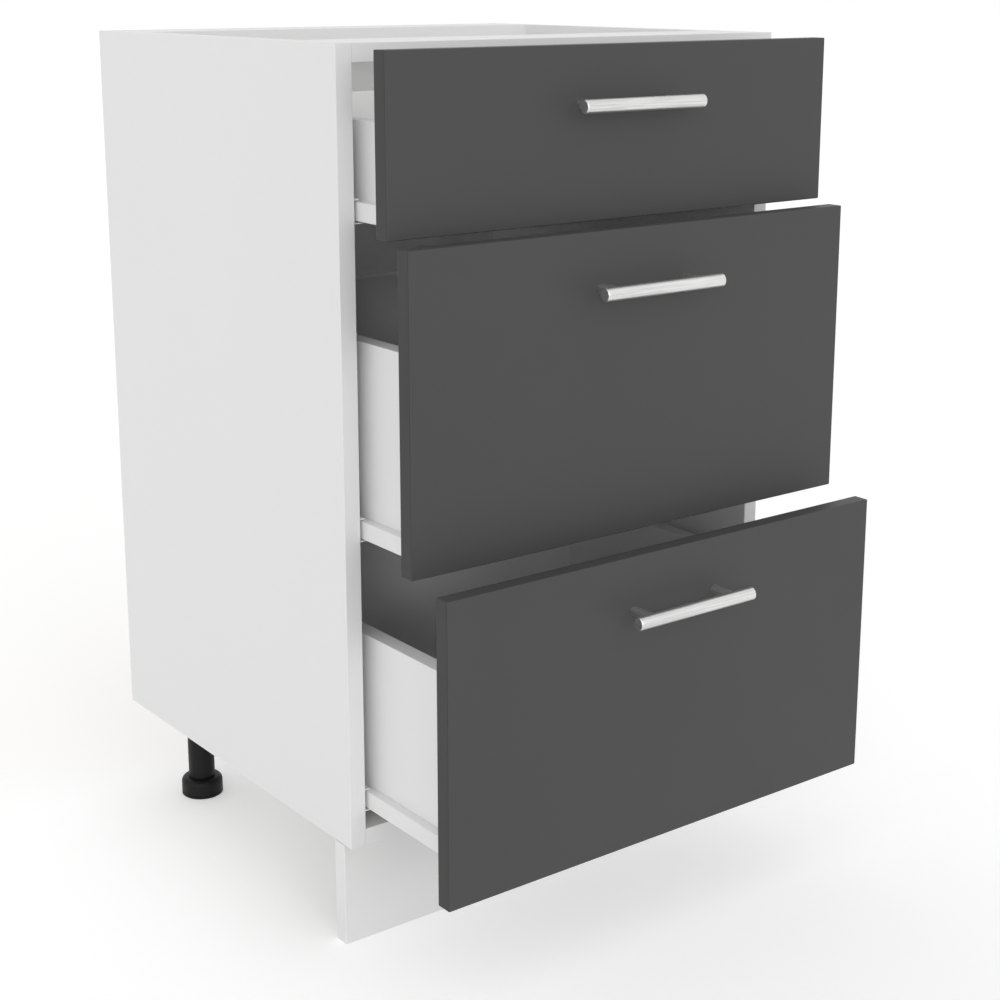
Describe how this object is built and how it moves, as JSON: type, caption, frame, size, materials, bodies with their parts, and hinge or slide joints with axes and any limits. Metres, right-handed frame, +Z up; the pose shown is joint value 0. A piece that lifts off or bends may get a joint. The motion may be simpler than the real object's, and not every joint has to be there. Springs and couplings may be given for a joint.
{
  "type": "base cabinet with drawers",
  "caption": "Floor-standing kitchen base cabinet with an open top, full-width drawers on roller runners, bar handles, levelling feet and a plinth board.",
  "frame": {"origin": "on the floor, in the middle of the outer box with the drawers pulled out as they rest here; the carcass front is at y = -0.1295 and its rear edge at y = 0.3145", "axes": "+X to the cabinet's right as seen from its front, +Y from the drawer fronts towards the wall, +Z up; the drawers open towards -Y"},
  "size_m": [0.5, 0.629, 0.816],
  "materials": {
    "white_board": "white melamine-faced chipboard, satin",
    "front_board": "anthracite melamine-faced chipboard, matt, with matching edge band",
    "white_hardboard": "white faced hardboard, smooth",
    "runner_steel": "white epoxy-coated sheet steel",
    "zinc": "bright zinc plate",
    "handle_steel": "brushed stainless steel",
    "roller_nylon": "natural nylon",
    "black_plastic": "black moulded plastic, satin",
    "beech": "plain beech"
  },
  "bodies": {
    "carcass": {"side_panel_left": "white_board", "side_panel_right": "white_board", "bottom_panel": "white_board", "front_rail": "white_board", "rear_rail": "white_board", "back_panel": "white_hardboard", "plinth_board": "white_board", "carcass_dowels": "beech", "cam_housings": "zinc", "cam_bolts": "zinc", "carcass_screws": "zinc", "leg_plates": "black_plastic", "leg_tubes": "black_plastic", "plinth_clips": "black_plastic", "cabinet_runners_top": "runner_steel", "cabinet_runners_middle": "runner_steel", "cabinet_runners_bottom": "runner_steel"},
    "drawer_top": {"drawer_front_top": "front_board", "drawer_side_top_left": "white_board", "drawer_side_top_right": "white_board", "drawer_back_top": "white_board", "drawer_floor_top": "white_hardboard", "drawer_fasteners_top": "zinc", "drawer_runners_top": "runner_steel", "handle_bar_top": "handle_steel", "handle_posts_top": "handle_steel"},
    "front_roller_top_left": {"front_roller_top_left": "roller_nylon"},
    "front_roller_top_right": {"front_roller_top_right": "roller_nylon"},
    "rear_roller_top_left": {"rear_roller_top_left": "roller_nylon"},
    "rear_roller_top_right": {"rear_roller_top_right": "roller_nylon"},
    "drawer_middle": {"drawer_front_middle": "front_board", "drawer_side_middle_left": "white_board", "drawer_side_middle_right": "white_board", "drawer_back_middle": "white_board", "drawer_floor_middle": "white_hardboard", "drawer_fasteners_middle": "zinc", "drawer_runners_middle": "runner_steel", "handle_bar_middle": "handle_steel", "handle_posts_middle": "handle_steel"},
    "front_roller_middle_left": {"front_roller_middle_left": "roller_nylon"},
    "front_roller_middle_right": {"front_roller_middle_right": "roller_nylon"},
    "rear_roller_middle_left": {"rear_roller_middle_left": "roller_nylon"},
    "rear_roller_middle_right": {"rear_roller_middle_right": "roller_nylon"},
    "drawer_bottom": {"drawer_front_bottom": "front_board", "drawer_side_bottom_left": "white_board", "drawer_side_bottom_right": "white_board", "drawer_back_bottom": "white_board", "drawer_floor_bottom": "white_hardboard", "drawer_fasteners_bottom": "zinc", "drawer_runners_bottom": "runner_steel", "handle_bar_bottom": "handle_steel", "handle_posts_bottom": "handle_steel"},
    "front_roller_bottom_left": {"front_roller_bottom_left": "roller_nylon"},
    "front_roller_bottom_right": {"front_roller_bottom_right": "roller_nylon"},
    "rear_roller_bottom_left": {"rear_roller_bottom_left": "roller_nylon"},
    "rear_roller_bottom_right": {"rear_roller_bottom_right": "roller_nylon"},
    "foot_front_left": {"foot_front_left": "black_plastic"},
    "foot_front_right": {"foot_front_right": "black_plastic"},
    "foot_rear_left": {"foot_rear_left": "black_plastic"},
    "foot_rear_right": {"foot_rear_right": "black_plastic"}
  },
  "joints": [
    {"name": "drawer_slide_top", "type": "slide", "parent": "carcass", "child": "drawer_top", "axis": [0, -1, 0], "range_m": [-0.054, 0.246]},
    {"name": "front_roller_top_left_spin", "type": "hinge", "parent": "carcass", "child": "front_roller_top_left", "pos_m": [-0.2253, -0.1155, 0.6775], "axis": [1, 0, 0], "range_deg": [-517, 2351]},
    {"name": "front_roller_top_right_spin", "type": "hinge", "parent": "carcass", "child": "front_roller_top_right", "pos_m": [0.2253, -0.1155, 0.6775], "axis": [1, 0, 0], "range_deg": [-517, 2351]},
    {"name": "rear_roller_top_left_spin", "type": "hinge", "parent": "drawer_top", "child": "rear_roller_top_left", "pos_m": [-0.2253, 0.2035, 0.6738], "axis": [1, 0, 0], "range_deg": [-517, 2351]},
    {"name": "rear_roller_top_right_spin", "type": "hinge", "parent": "drawer_top", "child": "rear_roller_top_right", "pos_m": [0.2253, 0.2035, 0.6738], "axis": [1, 0, 0], "range_deg": [-517, 2351]},
    {"name": "drawer_slide_middle", "type": "slide", "parent": "carcass", "child": "drawer_middle", "axis": [0, -1, 0], "range_m": [-0.084, 0.216]},
    {"name": "front_roller_middle_left_spin", "type": "hinge", "parent": "carcass", "child": "front_roller_middle_left", "pos_m": [-0.2253, -0.1155, 0.3985], "axis": [1, 0, 0], "range_deg": [-804, 2064]},
    {"name": "front_roller_middle_right_spin", "type": "hinge", "parent": "carcass", "child": "front_roller_middle_right", "pos_m": [0.2253, -0.1155, 0.3985], "axis": [1, 0, 0], "range_deg": [-804, 2064]},
    {"name": "rear_roller_middle_left_spin", "type": "hinge", "parent": "drawer_middle", "child": "rear_roller_middle_left", "pos_m": [-0.2253, 0.1735, 0.3948], "axis": [1, 0, 0], "range_deg": [-804, 2064]},
    {"name": "rear_roller_middle_right_spin", "type": "hinge", "parent": "drawer_middle", "child": "rear_roller_middle_right", "pos_m": [0.2253, 0.1735, 0.3948], "axis": [1, 0, 0], "range_deg": [-804, 2064]},
    {"name": "drawer_slide_bottom", "type": "slide", "parent": "carcass", "child": "drawer_bottom", "axis": [0, -1, 0], "range_m": [-0.134, 0.166]},
    {"name": "front_roller_bottom_left_spin", "type": "hinge", "parent": "carcass", "child": "front_roller_bottom_left", "pos_m": [-0.2253, -0.1155, 0.1435], "axis": [1, 0, 0], "range_deg": [-1281, 1587]},
    {"name": "front_roller_bottom_right_spin", "type": "hinge", "parent": "carcass", "child": "front_roller_bottom_right", "pos_m": [0.2253, -0.1155, 0.1435], "axis": [1, 0, 0], "range_deg": [-1281, 1587]},
    {"name": "rear_roller_bottom_left_spin", "type": "hinge", "parent": "drawer_bottom", "child": "rear_roller_bottom_left", "pos_m": [-0.2253, 0.1235, 0.1398], "axis": [1, 0, 0], "range_deg": [-1281, 1587]},
    {"name": "rear_roller_bottom_right_spin", "type": "hinge", "parent": "drawer_bottom", "child": "rear_roller_bottom_right", "pos_m": [0.2253, 0.1235, 0.1398], "axis": [1, 0, 0], "range_deg": [-1281, 1587]},
    {"name": "foot_front_left_level", "type": "slide", "parent": "carcass", "child": "foot_front_left", "axis": [0, 0, -1], "range_m": [0, 0.015]},
    {"name": "foot_front_right_level", "type": "slide", "parent": "carcass", "child": "foot_front_right", "axis": [0, 0, -1], "range_m": [0, 0.015]},
    {"name": "foot_rear_left_level", "type": "slide", "parent": "carcass", "child": "foot_rear_left", "axis": [0, 0, -1], "range_m": [0, 0.015]},
    {"name": "foot_rear_right_level", "type": "slide", "parent": "carcass", "child": "foot_rear_right", "axis": [0, 0, -1], "range_m": [0, 0.015]}
  ],
  "couplings": [
    {"joint": "front_roller_top_left_spin", "follows": "drawer_slide_top", "rad_per_m": 166.67},
    {"joint": "front_roller_top_right_spin", "follows": "drawer_slide_top", "rad_per_m": 166.67},
    {"joint": "rear_roller_top_left_spin", "follows": "drawer_slide_top", "rad_per_m": 166.67},
    {"joint": "rear_roller_top_right_spin", "follows": "drawer_slide_top", "rad_per_m": 166.67},
    {"joint": "front_roller_middle_left_spin", "follows": "drawer_slide_middle", "rad_per_m": 166.67},
    {"joint": "front_roller_middle_right_spin", "follows": "drawer_slide_middle", "rad_per_m": 166.67},
    {"joint": "rear_roller_middle_left_spin", "follows": "drawer_slide_middle", "rad_per_m": 166.67},
    {"joint": "rear_roller_middle_right_spin", "follows": "drawer_slide_middle", "rad_per_m": 166.67},
    {"joint": "front_roller_bottom_left_spin", "follows": "drawer_slide_bottom", "rad_per_m": 166.67},
    {"joint": "front_roller_bottom_right_spin", "follows": "drawer_slide_bottom", "rad_per_m": 166.67},
    {"joint": "rear_roller_bottom_left_spin", "follows": "drawer_slide_bottom", "rad_per_m": 166.67},
    {"joint": "rear_roller_bottom_right_spin", "follows": "drawer_slide_bottom", "rad_per_m": 166.67}
  ]
}
